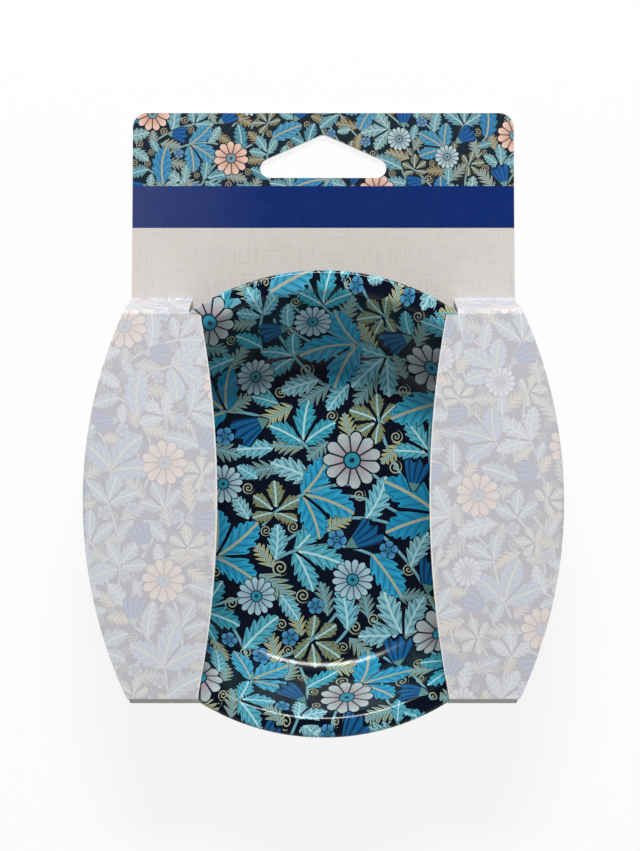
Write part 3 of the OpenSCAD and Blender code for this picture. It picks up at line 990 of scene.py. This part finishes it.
# Rows go up the sleeve and columns from the window's edge out to the side fold. The last
# fold_r mm are flat at the mouth, and turn down by a quarter where a side wall joins them
wing_end_y = head_y - head_bend_r * math.tan(riser_slope / 2)
y = np.linspace(wing_low[1], wing_end_y, int((wing_end_y - wing_low[1]) / sheet_step))[:, None]
window = window_half + window_bow_r - np.sqrt(window_bow_r ** 2 - y ** 2)
turn = np.clip((y - wall_start_y) / fold_r + 1, 0.001, 1) * math.pi / 2
bend = turn * np.linspace(0, 1, fold_parts + 1)[1:]
bend_r = fold_r / np.sin(turn)
flat_end = bow_x(y) - fold_r
flat_x = window + (flat_end - window) * np.linspace(0, 1, wing_columns)
wing_x = np.hstack([flat_x, flat_end + bend_r * np.sin(bend)])
wing_z = sleeve_top - np.hstack([0 * flat_x, bend_r * (1 - np.cos(bend))])
wing_y = np.broadcast_to(y, wing_x.shape)
wing_across = np.hstack([flat_x, flat_end + bend_r * bend])
outer_rows, outer_columns = wing_x.shape[0] - 1, wing_x.shape[1] - 1
for side, name in ((1, "right_wing"), (-1, "left_wing")):
    wing = sleeve_piece(name, side, np.dstack([wing_x, wing_y, wing_z]), wing_across, wing_y)
    kinds = np.zeros(len(wing.data.polygons), np.int32)
    wing.data.polygons.foreach_get("material_index", kinds)
    outer = kinds[:outer_rows * outer_columns].reshape(outer_rows, outer_columns)
    outer[:, -1 if side > 0 else 0] = 1
    wing.data.polygons.foreach_set("material_index", kinds)


# The risers.
# The strip of card on each side that lifts steeply from the header's fold to the wing. It is
# creased at both ends: rounded over at its head, sharper at its foot.
riser_columns = 32
bend_step = 0.15

head_arc = arc_points((wing_end_y, sleeve_top - head_bend_r), head_bend_r, math.pi / 2,
                      math.pi / 2 - riser_slope, bend_step)
foot_arc = arc_points((foot_y, header_z + foot_bend_r), foot_bend_r,
                      1.5 * math.pi - riser_slope, 1.5 * math.pi, bend_step)
path = np.vstack([head_arc, line_points(head_arc[-1], foot_arc[0], sheet_step), foot_arc])
run = np.append(0, np.cumsum(np.linalg.norm(np.diff(path, axis=0), axis=1)))
outer_x = np.interp(path[:, 1], [header_z, wing_low[2]], [header_half, riser_high[0]])
riser_x = riser_in_x + (outer_x - riser_in_x)[:, None] * np.linspace(0, 1, riser_columns)
riser_x, riser_y, riser_z, riser_along = np.broadcast_arrays(
    riser_x, path[:, :1], path[:, 1:], wing_end_y + run[:, None])
for side, name in ((1, "right_riser"), (-1, "left_riser")):
    sleeve_piece(name, side, np.dstack([riser_x, riser_y, riser_z]), riser_x, riser_along)


# The side walls.
# Upright strips of the same card between the wings' folds and the glue flanges. Each ends
# against its riser, and is cut off short of the mouth so that the rim can slide out.
wall_rows = 116
wall_columns = 50

# Columns go down the wall and then round the fold above its flange
straight_z = np.linspace(sleeve_top - fold_r, card_t + fold_r, wall_columns)
fold_turn = np.linspace(0, math.pi / 2, fold_parts + 1)[1:]
wall_z = np.append(straight_z, card_t + fold_r * (1 - np.sin(fold_turn)))
wall_turn = np.append(np.zeros(wall_columns), fold_turn)
riser_back_y = (fold_y - (wall_z - header_z) / math.tan(riser_slope)
                - card_t / math.sin(riser_slope))
share = np.linspace(0, 1, wall_rows)[:, None]
wall_y = wall_start_y + share * (riser_back_y - wall_start_y)
wall_x = bow_x(wall_y) - fold_r * (1 - np.cos(wall_turn))
wall_run = np.append(0, np.cumsum(np.hypot(np.diff(wall_z), np.diff(np.cos(wall_turn)))))
wall_across = bow_x(wall_y) + wall_run
wall_z = np.broadcast_to(wall_z, wall_x.shape)
for side, name in ((1, "right_side_wall"), (-1, "left_side_wall")):
    sleeve_piece(name, side, np.dstack([wall_x, wall_y, wall_z]), wall_across, wall_y)
